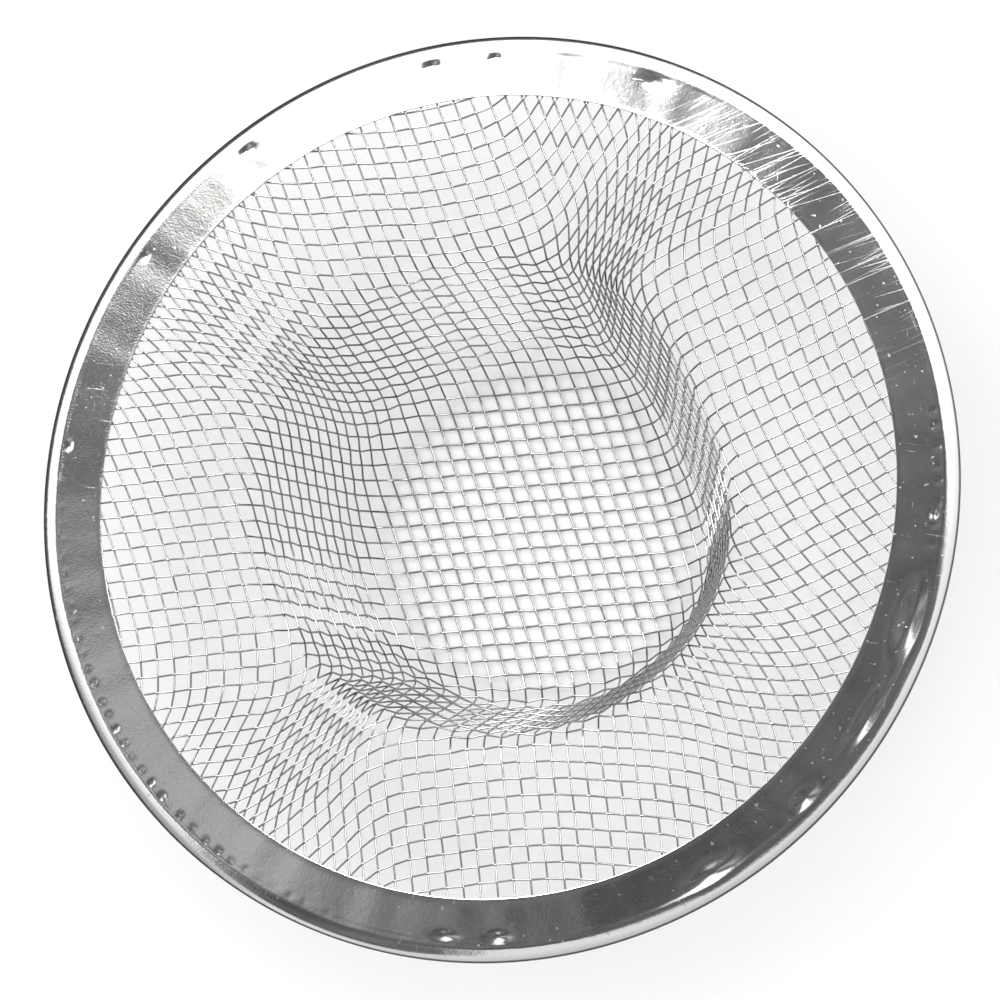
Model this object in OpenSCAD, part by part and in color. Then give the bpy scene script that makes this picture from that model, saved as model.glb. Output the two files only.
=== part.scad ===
// Kitchen sink mesh strainer: a woven wire cloth pressed into a shallow funnel with a cup in
// its middle, held by one band of stainless sheet that is folded over the cloth's edge.
// Millimetres, +Z up. The origin is the middle of the cup floor's underside, and the rim is
// concentric with the Z axis.

/* [Rim band] */
// Outer diameter of the rim
rim_d = 114; // [112:0.5:118]
// Diameter of the opening inside the rim
opening_d = 98.8; // [96:0.2:100]
// Height of the rim's top above the underside of the cup
rim_h = 27; // [22:0.5:32]
// Thickness of the stainless sheet
sheet_t = 0.3; // [0.25:0.05:0.35]
// Diameter of the crease between the flange and its sloping margin
crease_d = 110.3; // [109.5:0.1:111]
// Fall of the flange from the opening to the crease
flange_fall = 0.25; // [0.15:0.05:0.35]
// Width of the hem under the cloth
hem_w = 2.7; // [2:0.1:3.5]

/* [Wire cloth] */
// Diameter of the wire
wire_d = 0.23; // [0.2:0.01:0.23]
// Diameter of the cup's floor, measured to the sharp corner
floor_d = 44; // [38:1:46]
// Diameter of the cup's mouth, measured to the sharp corner
mouth_d = 61; // [58:0.5:66]
// Fall of the cloth from the rim to the cup's mouth
funnel_fall = 1.7; // [0.8:0.1:3]
// Bend radius between the cup's floor and its wall
floor_bend = 6; // [3:0.5:7]
// Bend radius between the cup's wall and the funnel
mouth_bend = 4; // [2:0.5:6]

/* [Hidden] */
$fn = 180;
bend_steps = 12;

// The sheet's middle surface: the flange, the sloping margin and the fold down to the hem.
rim_r = rim_d / 2;
opening_r = opening_d / 2;
crease_r = crease_d / 2;
fold_r = rim_r - sheet_t / 2;
hem_r = rim_r - hem_w;
flange_mid = rim_h - sheet_t / 2;
crease_mid = flange_mid - flange_fall;

// The cloth is as thick as the two wires that cross in it, and lies against the flange's
// underside. The hem's top meets the cloth's edge from below.
cloth_t = 2 * wire_d;
cloth_edge = crease_r - 0.3;
opening_mid = flange_mid - (sheet_t + cloth_t) / 2;
edge_mid = opening_mid - flange_fall * (cloth_edge - opening_r) / (crease_r - opening_r);
hem_mid = edge_mid - (sheet_t + cloth_t) / 2;
floor_mid = wire_d;

band_path = [
    [opening_r, flange_mid],
    [crease_r, crease_mid],
    [fold_r - 0.6, crease_mid - 0.26],
    [fold_r, crease_mid - 0.48],
    [fold_r, hem_mid],
    [hem_r, hem_mid]
];
band_bends = [3, 1.5, 0.165, 0.165];
cloth_path = [
    [0, floor_mid],
    [floor_d / 2, floor_mid],
    [mouth_d / 2, opening_mid - funnel_fall],
    [opening_r, opening_mid],
    [cloth_edge, edge_mid]
];
cloth_bends = [floor_bend, mouth_bend, 3];

// Points of the arc that rounds corner b of the path a-b-c, moved sideways by shift,
// which is positive to the left of the direction of travel.
function unit(v) = v / norm(v);
function side(a, b, c) = sign((b - a).x * (c - b).y - (b - a).y * (c - b).x);
function bend(a, b, c, r, shift) =
    let (
        back = unit(a - b),
        ahead = unit(c - b),
        opening = acos(back * ahead),
        turn = side(a, b, c),
        centre = b + unit(back + ahead) * r / sin(opening / 2),
        first = b + back * r / tan(opening / 2) - centre,
        start = atan2(first.y, first.x),
        radius = r - turn * shift
    )
    [
        for (i = [0 : bend_steps])
            let (angle = start + turn * (180 - opening) * i / bend_steps)
            centre + radius * [cos(angle), sin(angle)]
    ];

// One face of a sheet whose middle follows a path with rounded corners.
function sideways(a, b, shift) = let (d = unit(b - a)) shift * [-d.y, d.x];
function face(path, bends, shift) =
    let (last = len(path) - 1)
    concat(
        [path[0] + sideways(path[0], path[1], shift)],
        [
            for (i = [1 : last - 1])
                each bend(path[i - 1], path[i], path[i + 1], bends[i - 1], shift)
        ],
        [path[last] + sideways(path[last - 1], path[last], shift)]
    );
function reversed(list) = [for (i = [len(list) - 1 : -1 : 0]) list[i]];

module turned_sheet(path, bends, thickness) {
    rotate_extrude()
        polygon(concat(
            face(path, bends, thickness / 2),
            reversed(face(path, bends, -thickness / 2))
        ));
}

// The rim is one continuous band: flange, sloping margin, fold and hem.
module rim_band() {
    color("silver") turned_sheet(band_path, band_bends, sheet_t);
}

// The cloth as one thin closed shell of its true outer shape, with its edge in the fold.
module wire_cloth() {
    color("gainsboro") turned_sheet(cloth_path, cloth_bends, cloth_t);
}

rim_band();
wire_cloth();
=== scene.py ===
"""Looks of the sink strainer: a polished sheet rim round a cloth woven from separate wires."""
import math

import bpy
import numpy as np
from mathutils import Matrix, Vector


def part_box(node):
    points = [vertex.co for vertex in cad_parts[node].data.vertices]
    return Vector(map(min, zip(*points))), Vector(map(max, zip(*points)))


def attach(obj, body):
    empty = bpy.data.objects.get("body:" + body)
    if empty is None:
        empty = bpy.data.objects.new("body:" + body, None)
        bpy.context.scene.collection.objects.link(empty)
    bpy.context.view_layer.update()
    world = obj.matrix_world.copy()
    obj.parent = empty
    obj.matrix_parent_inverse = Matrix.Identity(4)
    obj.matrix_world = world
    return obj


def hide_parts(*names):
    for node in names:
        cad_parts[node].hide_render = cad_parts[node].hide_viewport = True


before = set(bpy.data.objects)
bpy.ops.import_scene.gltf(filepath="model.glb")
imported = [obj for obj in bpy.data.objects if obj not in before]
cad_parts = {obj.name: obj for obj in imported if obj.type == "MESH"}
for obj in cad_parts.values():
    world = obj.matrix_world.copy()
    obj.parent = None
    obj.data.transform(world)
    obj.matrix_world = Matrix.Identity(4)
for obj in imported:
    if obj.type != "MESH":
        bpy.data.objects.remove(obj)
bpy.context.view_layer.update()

MM = 0.001
rng = np.random.default_rng(12)


# ---------------------------------------------------------------- dimensions, in millimetres
rim_low, rim_high = (np.array(corner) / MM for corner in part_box("rim_band"))
cloth_high = np.array(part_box("wire_cloth")[1]) / MM
RIM_R = (rim_high[0] - rim_low[0]) / 2
RIM_TOP = rim_high[2]
HEM_BOTTOM = rim_low[2]
OPENING_R = 49.4
CREASE_R = 55.15
HEM_R = 54.3
FLOOR_R = 22
MOUTH_R = 30.5
SHEET = 0.3
WIRE = 0.24

# Middle surface of the cloth: cup floor, cup wall, funnel and the margin under the flange.
# The floor is high enough for the crimped wires to stay above the ground.
CLOTH_EDGE = cloth_high[0] - 0.2
CUP_PATH = [
    (0, 0.31),
    (FLOOR_R, 0.31),
    (MOUTH_R, 24.75),
    (OPENING_R, 26.42),
    (CLOTH_EDGE + 12, 25.7),
]
CUP_BENDS = [6, 4, 3]

# Plain weave, about 12 wires to the inch. The warp is crimped much more than the weft, but
# where the rim clamps them both are crimped the same.
PITCH = 2.07
CRIMP = {"warp": 0.19, "weft": 0.06}
CLAMPED_CRIMP = 0.10


# ---------------------------------------------------------------- small helpers
def smooth(x, low, high):
    """Smooth step from 0 at low to 1 at high."""
    t = np.clip((x - low) / (high - low), 0, 1)
    return t * t * (3 - 2 * t)


def degrees_from(middle, azimuth):
    """How far an azimuth in radians lies from a middle one in degrees, the short way round."""
    return (np.degrees(azimuth) - middle + 180) % 360 - 180


def corner_arc(a, b, c, radius, steps=14):
    """Points of the arc that rounds corner b of the path a-b-c."""
    a, b, c = (np.array(p, float) for p in (a, b, c))
    back = (a - b) / np.linalg.norm(a - b)
    ahead = (c - b) / np.linalg.norm(c - b)
    half = math.acos(np.clip(back @ ahead, -1, 1)) / 2
    bisector = (back + ahead) / np.linalg.norm(back + ahead)
    centre = b + bisector * radius / math.sin(half)
    start = b + back * radius / math.tan(half) - centre
    end = b + ahead * radius / math.tan(half) - centre
    first = math.atan2(start[1], start[0])
    turn = (math.atan2(end[1], end[0]) - first + math.pi) % (2 * math.pi) - math.pi
    angles = first + turn * np.linspace(0, 1, steps)
    return centre + radius * np.stack([np.cos(angles), np.sin(angles)], -1)


def along(points):
    """Distance along a path from its first point to each of its points."""
    steps = np.linalg.norm(np.diff(points, axis=0), axis=1)
    return np.concatenate([[0], np.cumsum(steps)])


def add_mesh(name, verts, faces):
    """A smooth-shaded mesh object from points in millimetres."""
    mesh = bpy.data.meshes.new(name)
    mesh.from_pydata((np.asarray(verts) * MM).tolist(), [], faces)
    mesh.validate()
    mesh.polygons.foreach_set("use_smooth", [True] * len(mesh.polygons))
    piece = bpy.data.objects.new(name, mesh)
    bpy.context.collection.objects.link(piece)
    return piece


# ---------------------------------------------------------------- materials
class Nodes:
    """A node tree with short calls to add nodes and links."""

    def __init__(self, tree):
        self.tree = tree

    def add(self, kind, inputs=(), **settings):
        node = self.tree.nodes.new(kind)
        for key, value in settings.items():
            setattr(node, key, value)
        for key, value in dict(inputs).items():
            if isinstance(value, bpy.types.NodeSocket):
                self.tree.links.new(value, node.inputs[key])
            else:
                node.inputs[key].default_value = value
        return node

    def place(self, scale=(1, 1, 1), turn=0.0):
        """Object coordinates, turned about Z and scaled."""
        coords = self.add("ShaderNodeTexCoord").outputs["Object"]
        turned = self.add("ShaderNodeMapping", {"Vector": coords, "Rotation": (0, 0, turn)})
        return self.add("ShaderNodeMapping", {"Vector": turned.outputs[0], "Scale": scale}).outputs[0]

    def noise(self, scale, detail=3.0, where=None):
        where = where or self.place()
        inputs = {"Vector": where, "Scale": scale, "Detail": detail, "Roughness": 0.55}
        return self.add("ShaderNodeTexNoise", inputs).outputs["Fac"]

    def span(self, value, low, high, to_low, to_high, kind="LINEAR"):
        inputs = {"Value": value, 1: low, 2: high, 3: to_low, 4: to_high}
        return self.add("ShaderNodeMapRange", inputs, interpolation_type=kind).outputs[0]

    def maths(self, operation, a, b=0.0):
        return self.add("ShaderNodeMath", {0: a, 1: b}, operation=operation).outputs[0]

    def blend(self, factor, low, high):
        """low where the factor is 0, high where it is 1."""
        inputs = {"Factor": factor, "A": low, "B": high}
        return self.add("ShaderNodeMix", inputs, data_type="FLOAT").outputs[0]

    def tint(self, factor, dark, light):
        node = self.add("ShaderNodeMix", {0: factor, 6: (*dark, 1), 7: (*light, 1)}, data_type="RGBA")
        return node.outputs[2]

    def bump(self, height, distance, strength=1.0, under=None):
        inputs = {"Height": height, "Distance": distance, "Strength": strength}
        if under:
            inputs["Normal"] = under
        return self.add("ShaderNodeBump", inputs).outputs[0]

    def near_azimuth(self, degrees, half_width):
        """1 within 0.6 of a half-width of an azimuth, fading to 0 at 1.3 half-widths from it."""
        flat = self.add("ShaderNodeVectorMath", {0: self.place((1, 1, 0))}, operation="NORMALIZE")
        aim = (math.cos(math.radians(degrees)), math.sin(math.radians(degrees)), 0)
        dot = self.add("ShaderNodeVectorMath", {0: flat.outputs[0], 1: aim}, operation="DOT_PRODUCT")
        edge = math.cos(math.radians(half_width * 1.3))
        full = math.cos(math.radians(half_width * 0.6))
        return self.span(dot.outputs["Value"], edge, full, 0.0, 1.0, "SMOOTHSTEP")

    def scratches(self, heading, length, width, share):
        """Straight fine lines at one heading: 1 on a scratch, 0 between them."""
        where = self.place((1 / length, 1 / width, 1 / length), -math.radians(heading))
        return self.span(self.noise(1.0, detail=0.0, where=where), share, share + 0.06, 0.0, 1.0)


def new_material(name, metallic):
    """A material with its node tree and its shader."""
    material = bpy.data.materials.new(name)
    material.use_nodes = True
    shader = material.node_tree.nodes["Principled BSDF"]
    shader.inputs["Metallic"].default_value = metallic
    return material, Nodes(material.node_tree), shader


def connect(nodes, shader, **outputs):
    for name, output in outputs.items():
        nodes.tree.links.new(output, shader.inputs[name.replace("_", " ")])


def rim_steel():
    """Polished sheet with an orange-peel grain, handling scratches, small specks and painted shade along
    the outer fold.
    """
    material, nodes, shader = new_material("rim_steel", 1.0)
    grain = nodes.noise(4200, detail=2.0)
    blotch = nodes.noise(70, detail=4.0)
    speck = nodes.span(nodes.noise(1500, detail=1.0), 0.69, 0.75, 0.0, 1.0)
    handled = nodes.near_azimuth(42, 24)
    lines = nodes.maths("MULTIPLY", nodes.scratches(23, 0.016, 0.00020, 0.70), handled)
    for heading, length, share in ((16, 0.012, 0.72), (29, 0.010, 0.73)):
        more = nodes.maths("MULTIPLY", nodes.scratches(heading, length, 0.00016, share), handled)
        lines = nodes.maths("MAXIMUM", lines, more)
    for heading, length, share in ((85, 0.003, 0.82), (-8, 0.004, 0.82)):
        lines = nodes.maths("MAXIMUM", lines, nodes.scratches(heading, length, 0.00018, share))
    marks = nodes.maths("MAXIMUM", lines, speck)
    rough = nodes.span(blotch, 0.3, 0.7, 0.08, 0.13)
    rough = nodes.maths("ADD", rough, nodes.maths("MULTIPLY", marks, 0.14))
    peel = nodes.blend(nodes.near_azimuth(185, 48), 0.35, 1.0)
    normal = nodes.bump(grain, 0.00001, 0.5)
    nodes.tree.links.new(peel, normal.node.inputs["Strength"])
    normal = nodes.bump(marks, 0.00001, 0.12, normal)
    normal = nodes.bump(nodes.noise(330), 0.00003, 0.6, normal)
    tone = nodes.tint(blotch, (0.64, 0.64, 0.625), (0.72, 0.72, 0.71))
    # Painted shade: the fold at the rim's outside is painted dark, as the real edge is in shade there.
    radius = nodes.add("ShaderNodeVectorMath", {0: nodes.place((1, 1, 0))}, operation="LENGTH")
    fold = nodes.span(radius.outputs["Value"], 0.05668, 0.05685, 0.0, 1.0, "SMOOTHSTEP")
    painted_fold_shade = {0: fold, 6: tone, 7: (0.17, 0.17, 0.165, 1)}
    tone = nodes.add("ShaderNodeMix", painted_fold_shade, data_type="RGBA").outputs[2]
    connect(nodes, shader, Base_Color=tone, Roughness=rough, Normal=normal)
    return material


def wire_steel():
    """Drawn wire, darker than the rim, with a faint change of tone and a fine grain."""
    material, nodes, shader = new_material("wire_steel", 1.0)
    tone = nodes.noise(120, detail=2.0)
    grain = nodes.noise(5000, detail=1.0)
    colour = nodes.tint(tone, (0.27, 0.27, 0.265), (0.35, 0.35, 0.34))
    rough = nodes.span(grain, 0.3, 0.7, 0.08, 0.16)
    connect(nodes, shader, Base_Color=colour, Roughness=rough, Normal=nodes.bump(grain, 0.000004, 0.3))
    return material


def floor_white():
    """Plain pale surface."""
    material, nodes, shader = new_material("floor_white", 0.0)
    tone = nodes.noise(3, detail=2.0)
    colour = nodes.tint(tone, (0.84, 0.84, 0.84), (0.86, 0.86, 0.86))
    connect(nodes, shader, Base_Color=colour, Roughness=nodes.span(tone, 0.3, 0.7, 0.75, 0.85))
    shader.inputs["Specular IOR Level"].default_value = 0.1
    return material


# ---------------------------------------------------------------- the cloth's surface
def cloth_profile():
    """Arc length, radius and height along the cloth's middle surface."""
    points = [np.array([CUP_PATH[0]], float)]
    for k, radius in enumerate(CUP_BENDS):
        points.append(corner_arc(*CUP_PATH[k:k + 3], radius))
    points.append(np.array([CUP_PATH[-1]], float))
    points = np.concatenate(points)
    return along(points), points[:, 0], points[:, 1]


ARC, ARC_R, ARC_Z = cloth_profile()
S_MOUTH = float(np.interp(MOUTH_R, ARC_R, ARC))
S_OPENING = float(np.interp(OPENING_R, ARC_R, ARC))
S_EDGE = float(np.interp(CLOTH_EDGE, ARC_R, ARC))

# Pressed cloth isn't quite round: the cup comes in or out round an azimuth in degrees, by an
# amount, over a spread in degrees. The shift grows up to an arc length and fades over the funnel.
# The cloth is also a little wavy, in seven waves that each have a heading, a number of radians
# a millimetre and a phase.
CUP_DENTS = ((-100, -1.0, 38, 48), (26, -3.0, 32, 24), (150, 0.3, 50, 48))
WAVES = tuple(
    (rng.uniform(0, 2 * math.pi), rng.uniform(0.35, 0.75), rng.uniform(0, 2 * math.pi))
    for _ in range(7)
)


def cloth(q):
    """Point of the cloth at q, its place in polar arc-length coordinates from the cup's centre."""
    s = np.hypot(q[..., 0], q[..., 1])
    azimuth = np.arctan2(q[..., 1], q[..., 0])
    r = np.interp(s, ARC, ARC_R)
    z = np.interp(s, ARC, ARC_Z)
    beyond = smooth(s, S_MOUTH + 1, S_MOUTH + 15)
    for middle, amount, spread, full_from in CUP_DENTS:
        share = smooth(s, 8, full_from) * (1 - beyond)
        r = r + amount * share * np.exp(-(degrees_from(middle, azimuth) / spread) ** 2)
    grow = np.where(s > 1e-6, r / np.maximum(s, 1e-6), 1.0)
    x, y = q[..., 0] * grow, q[..., 1] * grow
    free = 1 - smooth(s, S_EDGE - 14, S_EDGE - 7)
    for heading, number, phase in WAVES:
        ripple = np.sin(number * (x * math.cos(heading) + y * math.sin(heading)) + phase)
        z = z + 0.035 * free * (1 + ripple)
    return np.stack([x, y, z], -1)


def cloth_normal(q, step=0.02):
    """Unit normal of the cloth at q, pointing up into the basket."""
    du = cloth(q + np.array([step, 0])) - cloth(q - np.array([step, 0]))
    dv = cloth(q + np.array([0, step])) - cloth(q - np.array([0, step]))
    n = np.cross(du, dv)
    return n / np.linalg.norm(n, axis=-1, keepdims=True)


# ---------------------------------------------------------------- the weave
# The weave sits askew in the cup: each of the four wires that start at its centre heads off
# at an angle and bends by a further angle between two arc lengths.
WARP_HEADINGS = ((3, 28), (183, 3))
WEFT_HEADINGS = ((110, 2), (-70, -14))
BEND_FROM, BEND_TO = 5, 45
COUNT = int(S_EDGE / PITCH) + 6


def first_wire(heading, bend):
    """Crossings a pitch apart along a wire from the cup's centre."""
    q = [np.zeros(2)]
    for _ in range(COUNT - 1):
        share = smooth(np.hypot(*q[-1]), BEND_FROM, BEND_TO)
        angle = math.radians(heading + bend * share)
        ahead = np.array([math.cos(angle), math.sin(angle)])
        step = PITCH
        for _ in range(6):
            step *= PITCH / np.linalg.norm(cloth(q[-1] + ahead * step) - cloth(q[-1]))
        q.append(q[-1] + ahead * step)
    return np.array(q)


def next_crossings(a, b, guess):
    """Places on the cloth that are one pitch from both a and b, found by Newton's method."""
    q = guess.copy()
    point_a, point_b = cloth(a), cloth(b)
    tiny = 1e-4

    def misses(place):
        p = cloth(place)
        return np.stack([
            ((p - point_a) ** 2).sum(-1) - PITCH ** 2,
            ((p - point_b) ** 2).sum(-1) - PITCH ** 2,
        ], -1)

    for _ in range(14):
        miss = misses(q)
        du = (misses(q + np.array([tiny, 0])) - miss) / tiny
        dv = (misses(q + np.array([0, tiny])) - miss) / tiny
        det = du[:, 0] * dv[:, 1] - dv[:, 0] * du[:, 1]
        det = np.where(np.abs(det) < 1e-6, 1e-6, det)
        step = np.stack([
            (miss[:, 0] * dv[:, 1] - dv[:, 0] * miss[:, 1]) / det,
            (du[:, 0] * miss[:, 1] - miss[:, 0] * du[:, 1]) / det,
        ], -1)
        size = np.linalg.norm(step, axis=1, keepdims=True)
        q = q - step * np.minimum(1, 1.2 / np.maximum(size, 1e-9))
    return q


def quarter(warp, weft):
    """Crossings of a quarter of the weave, between two of the first wires."""
    q = np.full((COUNT, COUNT, 2), np.nan)
    q[:, 0] = first_wire(*warp)
    q[0, :] = first_wire(*weft)
    for total in range(2, 2 * COUNT - 1):
        i = np.arange(max(1, total - COUNT + 1), min(total, COUNT))
        j = total - i
        a, b, c = q[i - 1, j], q[i, j - 1], q[i - 1, j - 1]
        known = ~(np.isnan(a[:, 0]) | np.isnan(b[:, 0]) | np.isnan(c[:, 0]))
        near = np.minimum(np.hypot(*a.T), np.hypot(*b.T)) < S_EDGE + 3
        use = known & near
        if use.any():
            q[i[use], j[use]] = next_crossings(a[use], b[use], (a + b - c)[use])
    return q


def weave():
    """Place of every crossing: [warp direction, weft direction], with the cup's centre in the middle."""
    grid = np.full((2 * COUNT - 1, 2 * COUNT - 1, 2), np.nan)
    reach = np.arange(COUNT)
    for side_i, warp in zip((1, -1), WARP_HEADINGS):
        for side_j, weft in zip((1, -1), WEFT_HEADINGS):
            i = COUNT - 1 + side_i * reach
            j = COUNT - 1 + side_j * reach
            grid[np.ix_(i, j)] = quarter(warp, weft)
    return grid


# Where along the stretch between two crossings a wire gets a ring of points, and its height
# there: straight between short bends over the wires that it crosses.
RING_AT = np.array([0.0, 0.12, 0.88])
RING_RISE = np.array([1.0, 0.864, -0.864])
SIDES = 8


def wire_course(nodes_q, first_sign, crimp):
    """Middle line of one wire, over one crossing and under the next, with the cloth's normals."""
    padded = np.concatenate([2 * nodes_q[:1] - nodes_q[1:2], nodes_q, 2 * nodes_q[-1:] - nodes_q[-2:-1]])
    course, rise = [], []
    for k in range(len(nodes_q) - 1):
        p0, p1, p2, p3 = padded[k:k + 4]
        t = RING_AT[:, None]
        course.append(
            0.5 * (2 * p1 + (p2 - p0) * t + (2 * p0 - 5 * p1 + 4 * p2 - p3) * t ** 2
                   + (3 * p1 - p0 - 3 * p2 + p3) * t ** 3)
        )
        rise.append(first_sign * (-1) ** k * RING_RISE)
    course = np.concatenate(course + [nodes_q[-1:]])
    rise = np.concatenate(rise + [[first_sign * (-1) ** (len(nodes_q) - 1)]])
    inside = np.hypot(*course.T) <= S_EDGE
    course, rise = course[inside], rise[inside]
    normals = cloth_normal(course)
    clamped = smooth(np.hypot(*course.T), S_OPENING - 2, S_OPENING)
    rise = rise * (crimp + (CLAMPED_CRIMP - crimp) * clamped)
    return cloth(course) + normals * rise[:, None], normals


def wire_mesh(name, line, normals):
    """A round wire along a line, slightly thinner at its two ends."""
    tangent = np.gradient(line, axis=0)
    tangent /= np.linalg.norm(tangent, axis=1, keepdims=True)
    side = np.cross(tangent, normals)
    side /= np.linalg.norm(side, axis=1, keepdims=True)
    up = np.cross(side, tangent)
    turn = 2 * math.pi * np.arange(SIDES) / SIDES
    ring = np.cos(turn)[:, None, None] * side + np.sin(turn)[:, None, None] * up
    radius = np.full(len(line), WIRE / 2)
    radius[[0, -1]] *= 0.8
    verts = (line + ring * radius[:, None]).transpose(1, 0, 2).reshape(-1, 3)
    faces = []
    for k in range(len(line) - 1):
        for m in range(SIDES):
            n = (m + 1) % SIDES
            faces.append((k * SIDES + m, (k + 1) * SIDES + m, (k + 1) * SIDES + n, k * SIDES + n))
    last = (len(line) - 1) * SIDES
    faces.append(tuple(range(SIDES)))
    faces.append(tuple(last + m for m in reversed(range(SIDES))))
    return add_mesh(name, verts, faces)


def make_wires(grid, kind, material):
    """Every wire that runs along the grid's first direction, each a piece of its own."""
    made = []
    size = grid.shape[0]
    for j in range(size):
        run = np.hypot(*grid[:, j].T) < S_EDGE + PITCH
        places = np.flatnonzero(run & ~np.isnan(grid[:, j, 0]))
        if len(places) < 3:
            continue
        middle = places[len(places) // 2]
        low = high = middle
        while low - 1 in places:
            low -= 1
        while high + 1 in places:
            high += 1
        if high - low < 2:
            continue
        sign = 1 if (low + j + (kind == "weft")) % 2 == 0 else -1
        line, normals = wire_course(grid[low:high + 1, j], sign, CRIMP[kind])
        if len(line) < 6:
            continue
        wire = wire_mesh(f"{kind}_wire_{len(made) + 1:02d}", line, normals)
        wire.data.materials.append(material)
        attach(wire, "root")
        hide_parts("wire_cloth")
        made.append((wire, line))
    return made


# ---------------------------------------------------------------- the rim
# Outward slope of the sheet's top in degrees at radii across the rim: a slightly raised cut
# edge, the nearly flat flange, the crease and the margin that slopes down to the fold.
SLOPES = (
    (49.4, 7.0), (49.7, 5.0), (50.2, 3.0), (50.8, 2.4), (54.3, 2.4), (54.8, 6.0),
    (55.3, 12.0), (56.0, 15.0), (56.35, 21.0), (56.6, 27.0), (57.2, 32.0),
)


def rim_outline():
    """The band's closed outline: over the top, round the fold, under the hem and back inside."""
    fine = np.linspace(OPENING_R, RIM_R, 800)
    slope = np.radians(np.interp(fine, *np.array(SLOPES).T))
    drop = np.concatenate([[0], np.cumsum(np.tan(slope[:-1]) * np.diff(fine))])
    height = RIM_TOP - 0.01 - drop
    # The fold's circle is tangent to the margin, to the rim's outside and to the hem's plane.
    fold = (height - HEM_BOTTOM) / (1 + np.cos(slope))
    start = int(np.argmin(np.abs(RIM_R - fold * (1 - np.sin(slope)) - fine)))
    fold_r, fold_x = fold[start], RIM_R - fold[start]
    dented_from = 53.4
    radii = np.concatenate([
        OPENING_R + np.array([0, 0.03, 0.1]),
        np.arange(OPENING_R + 0.25, dented_from, 0.2),
        np.arange(dented_from, fine[start] - 0.05, 0.125),
        [fine[start]],
    ])
    top = np.stack([radii, np.interp(radii, fine, height)], -1)
    top[0, 1] -= 0.03
    turn = np.linspace(math.pi / 2 - slope[start], -math.pi / 2, 12)[1:]
    fold = np.stack([fold_x + fold_r * np.cos(turn), HEM_BOTTOM + fold_r + fold_r * np.sin(turn)], -1)
    hem_top, hem_outside = HEM_BOTTOM + SHEET, 55.6
    hem = np.array([
        [hem_outside, HEM_BOTTOM], [HEM_R + 0.1, HEM_BOTTOM], [HEM_R, HEM_BOTTOM + 0.1],
        [HEM_R, hem_top - 0.05], [HEM_R + 0.1, hem_top], [hem_outside, hem_top],
    ])
    inwards = np.arange(hem_outside, OPENING_R + 0.3, -0.6)
    below = np.concatenate([[56.5, 56.0], inwards, [OPENING_R + 0.03, OPENING_R]])
    under = np.stack([below, np.interp(below, fine, height) - SHEET], -1)
    under[-1, 1] += 0.03
    return np.concatenate([top, fold, hem, under]), len(top), len(under)


# Number of sections round the rim, and the radius near which the wires' ends mark it.
AROUND = 1140
FOOT_R = 54.35

# Unevenness of the flange round the rim: number of waves, height and phase.
RIPPLES = (
    (3, 0.02, 2.1), (5, 0.015, 4.0), (9, 0.010, 1.0),
    (17, 0.012, 5.0), (38, 0.008, 2.0), (61, 0.005, 0.5),
)
# Stretches of the rim, by azimuth in degrees and half-width, where the sheet is pressed down
# over the ends of the wires under it.
PINCHED = ((-150, 26), (-4, 5), (7, 4))
# Single dents by the crease: azimuth, radius, depth, half-length along the rim, half-width.
DENTS = (
    (69.5, 53.8, 0.11, 1.5, 0.8),
    (91, 54.2, 0.12, 0.5, 0.4),
    (99.5, 54.2, 0.13, 0.8, 0.5),
    (126.5, 54.2, 0.13, 0.8, 0.5),
    (145.5, 54.2, 0.08, 0.5, 0.4),
    (172.5, 54.2, 0.10, 0.5, 0.4),
    (-95, 53.9, 0.12, 1.4, 0.55),
    (-88, 53.9, 0.14, 1.2, 0.6),
    (-59, 54.0, 0.25, 3.0, 1.0),
    (-44, 54.0, 0.16, 1.7, 0.75),
    (-31, 54.1, 0.21, 4.2, 0.85),
    (-18, 53.8, 0.31, 4.2, 1.4),
    (-4, 54.0, 0.10, 0.7, 0.45),
)


def pressed(r, azimuth, wire_ends):
    """How far the flange's sheet stands up at these places."""
    rise = np.zeros_like(r)
    flat = 1 - smooth(r, CREASE_R - 0.6, CREASE_R + 0.3)
    for number, size, phase in RIPPLES:
        rise += size * flat * (np.sin(number * azimuth + phase) - 1)
    for middle, radius, depth, length, width in DENTS:
        reach = np.radians(degrees_from(middle, azimuth)) * radius
        rise -= depth * np.exp(-(reach / length) ** 2 - ((r - radius) / width) ** 2)
    for end in wire_ends:
        share = sum(math.exp(-(degrees_from(middle, end) / width) ** 2) for middle, width in PINCHED)
        if share < 0.08:
            continue
        away = ((azimuth - end + math.pi) % (2 * math.pi) - math.pi) * FOOT_R
        depth = rng.uniform(0.01, 0.075) * min(share, 1)
        middle = FOOT_R + rng.uniform(-0.10, 0.15)
        rise -= depth * np.exp(-(away / rng.uniform(0.22, 0.42)) ** 2 - ((r - middle) / 0.45) ** 2)
    return rise


def make_rim(wire_ends, material):
    """The rim as one closed folded band, with its dents and the marks of the wires' ends."""
    outline, top_rows, under_rows = rim_outline()
    rows = len(outline)
    azimuth = 2 * math.pi * np.arange(AROUND) / AROUND
    r = np.repeat(outline[None, :, 0], AROUND, 0)
    z = np.repeat(outline[None, :, 1], AROUND, 0)
    around = np.repeat(azimuth[:, None], rows, 1)
    sheet = np.zeros(rows)
    sheet[:top_rows] = sheet[-under_rows:] = 1
    z = z + sheet * pressed(r, around, wire_ends)
    verts = np.stack([r * np.cos(around), r * np.sin(around), z], -1).reshape(-1, 3)
    faces = []
    for a in range(AROUND):
        b = (a + 1) % AROUND
        for k in range(rows):
            n = (k + 1) % rows
            faces.append((a * rows + k, a * rows + n, b * rows + n, b * rows + k))
    rim = add_mesh("rim_band_sheet", verts, faces)
    rim.data.materials.append(material)
    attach(rim, "root")
    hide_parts("rim_band")
    return rim


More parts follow.
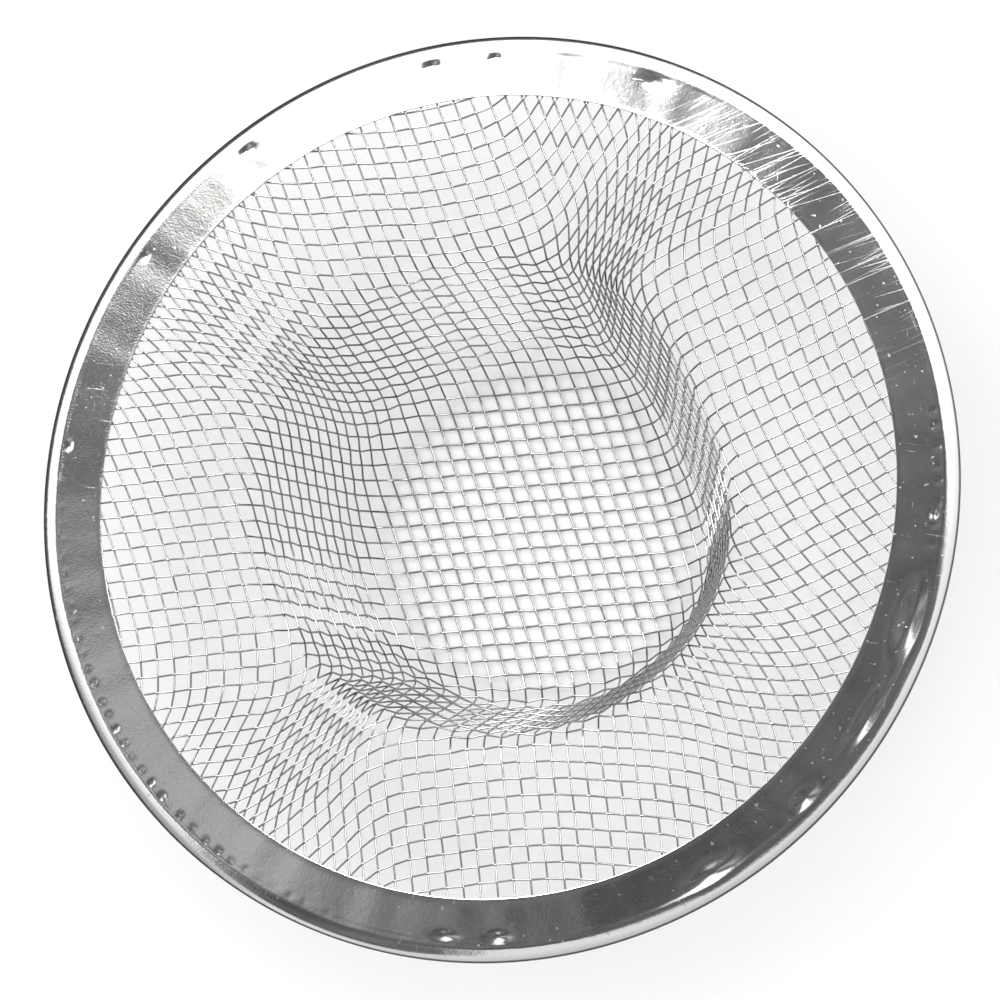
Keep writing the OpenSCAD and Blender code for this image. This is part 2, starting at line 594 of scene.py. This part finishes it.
# ---------------------------------------------------------------- camera, floor and light
VIEW_TILT = math.radians(17.3)
VIEW_HEADING = math.radians(-38.4)
VIEW_DISTANCE = 0.76
VIEW_HEIGHT = 0.02679
VIEW_LENS = 226.6
VIEW_SHIFT = (0.00087, -0.00091)
TENT_LIGHT = 1.35
OPENING_LIGHT = 0.13
HORIZON_LIGHT = 0.12

# Places in the sky are X and Y of their direction's unit vector. A dark oval has a middle, a
# reach each way and a softness. The bright strip fans out from near where the camera sees the
# sky in a level mirror, and fades in and out between two pairs of angles in degrees.
DARK_OVALS = (
    (-0.09, 0.0, 0.42, 0.30, 0.08),
    (-0.07, 0.33, 0.15, 0.17, 0.12),
    (-0.42, -0.34, 0.17, 0.22, 0.15),
    (-0.36, 0.16, 0.16, 0.17, 0.10),
)
STRIP_FROM = (-0.233, 0.195)
STRIP_FADES = (62, 73), (136, 147)
GLOW_OVAL, GLOW_LIGHT = (-0.355, 0.08, 0.08, 0.07, 0.7), 0.45
CORNER_OVAL, CORNER_LIGHT = (-0.84, -0.30, 0.22, 0.34, 0.35), 0.55

# Softboxes: name, direction, size in metres and power in watts.
SOFTBOXES = (
    ("back_softbox", (-0.20, 0.60, 0.77), (0.48, 0.40), 13.0),
    ("side_softbox", (0.38, 0.36, 0.85), (0.26, 0.22), 4.4),
)


def add_camera():
    """A long lens from above and to the lower right, turned so that +X runs to the right."""
    back = Vector((
        math.sin(VIEW_TILT) * math.cos(VIEW_HEADING),
        math.sin(VIEW_TILT) * math.sin(VIEW_HEADING),
        math.cos(VIEW_TILT),
    ))
    level = Vector((-math.sin(VIEW_HEADING), math.cos(VIEW_HEADING), 0))
    lean = level.cross(back)
    right = lean * math.cos(VIEW_HEADING) - level * math.sin(VIEW_HEADING)
    up = lean * math.sin(VIEW_HEADING) + level * math.cos(VIEW_HEADING)
    data = bpy.data.cameras.new("camera")
    data.lens = VIEW_LENS
    data.clip_start, data.clip_end = 0.05, 20
    camera = bpy.data.objects.new("camera", data)
    bpy.context.collection.objects.link(camera)
    target = Vector((0, 0, VIEW_HEIGHT)) + right * VIEW_SHIFT[0] + up * VIEW_SHIFT[1]
    axes = Matrix((right, up, back)).transposed()
    camera.matrix_world = Matrix.Translation(target + back * VIEW_DISTANCE) @ axes.to_4x4()
    bpy.context.scene.camera = camera


def add_world():
    """A bright tent: dim opening overhead with a strip and a glow in it, dim corner and dark horizon."""
    world = bpy.data.worlds.new("studio")
    bpy.context.scene.world = world
    world.use_nodes = True
    nodes = Nodes(world.node_tree)
    coords = nodes.add("ShaderNodeTexCoord").outputs["Generated"]
    x, y, z = nodes.add("ShaderNodeSeparateXYZ", {0: coords}).outputs

    def oval(middle_x, middle_y, reach_x, reach_y, soft):
        """1 inside an oval of sky, seen from below, and 0 outside it."""
        across = nodes.maths("DIVIDE", nodes.maths("SUBTRACT", x, middle_x), reach_x)
        along_y = nodes.maths("DIVIDE", nodes.maths("SUBTRACT", y, middle_y), reach_y)
        squares = (nodes.maths("POWER", part, 2.0) for part in (across, along_y))
        square = nodes.maths("ADD", *squares)
        return nodes.span(nodes.maths("SQRT", square), 1 - soft, 1 + soft, 1.0, 0.0, "SMOOTHSTEP")

    opening = oval(*DARK_OVALS[0])
    for dark in DARK_OVALS[1:]:
        opening = nodes.maths("MAXIMUM", opening, oval(*dark))
    from_x = nodes.maths("SUBTRACT", x, STRIP_FROM[0])
    from_y = nodes.maths("SUBTRACT", y, STRIP_FROM[1])
    angle = nodes.maths("ARCTAN2", from_y, from_x)
    fade_in, fade_out = np.radians(STRIP_FADES)
    after = nodes.span(angle, *fade_in, 0.0, 1.0, "SMOOTHSTEP")
    before = nodes.span(angle, *fade_out, 1.0, 0.0, "SMOOTHSTEP")
    no_strip = nodes.maths("SUBTRACT", 1.0, nodes.maths("MULTIPLY", after, before))
    opening = nodes.maths("MULTIPLY", opening, no_strip)
    cloudy = nodes.span(nodes.noise(11.0, 3.0, where=coords), 0.32, 0.68, 0.45, 2.0)
    dim = nodes.maths("MULTIPLY", cloudy, OPENING_LIGHT)
    dim = nodes.maths("ADD", dim, nodes.maths("MULTIPLY", oval(*GLOW_OVAL), GLOW_LIGHT))
    tent = nodes.maths("ADD", nodes.maths("MULTIPLY", x, -0.3), nodes.maths("MULTIPLY", y, 0.8))
    tent = nodes.maths("ADD", tent, TENT_LIGHT)
    tent = nodes.blend(oval(*CORNER_OVAL), tent, CORNER_LIGHT)
    light = nodes.blend(opening, tent, dim)
    light = nodes.blend(nodes.span(z, 0.40, 0.52, 1.0, 0.0, "SMOOTHSTEP"), light, HORIZON_LIGHT)
    nodes.tree.links.new(light, nodes.tree.nodes["Background"].inputs["Color"])


def add_lamp(name, direction, distance, size, power):
    """An oblong lamp that faces the strainer from a direction."""
    data = bpy.data.lights.new(name, "AREA")
    data.shape = "RECTANGLE"
    data.size, data.size_y = size
    data.energy = power
    lamp = bpy.data.objects.new(name, data)
    bpy.context.collection.objects.link(lamp)
    ahead = Vector(direction).normalized()
    lamp.location = ahead * distance
    lamp.rotation_mode = "QUATERNION"
    lamp.rotation_quaternion = ahead.to_track_quat("Z", "Y")
    return lamp


def add_lamps():
    """Two softboxes that light no diffuse surface, and a fill that no reflection shows."""
    for name, direction, size, power in SOFTBOXES:
        add_lamp(name, direction, 1.0, size, power).visible_diffuse = False
    add_lamp("fill", (-0.1, -0.1, 1.0), 1.2, (1.6, 1.6), 12.5).visible_glossy = False


def add_stage():
    """Pale floor under the strainer."""
    reach = 3000
    corners = [(reach * x, reach * y, 0) for x, y in ((-1, -1), (1, -1), (1, 1), (-1, 1))]
    floor = add_mesh("floor", corners, [(0, 1, 2, 3)])
    floor.data.materials.append(floor_white())


# ---------------------------------------------------------------- build
bpy.context.scene.view_settings.view_transform = "Standard"
add_camera()
add_stage()
add_world()
add_lamps()

wire_material = wire_steel()
grid = weave()
wires = make_wires(grid, "warp", wire_material)
wires += make_wires(grid.transpose(1, 0, 2), "weft", wire_material)
ends = [math.atan2(line[k][1], line[k][0]) for _, line in wires for k in (0, -1)]
make_rim(ends, rim_steel())
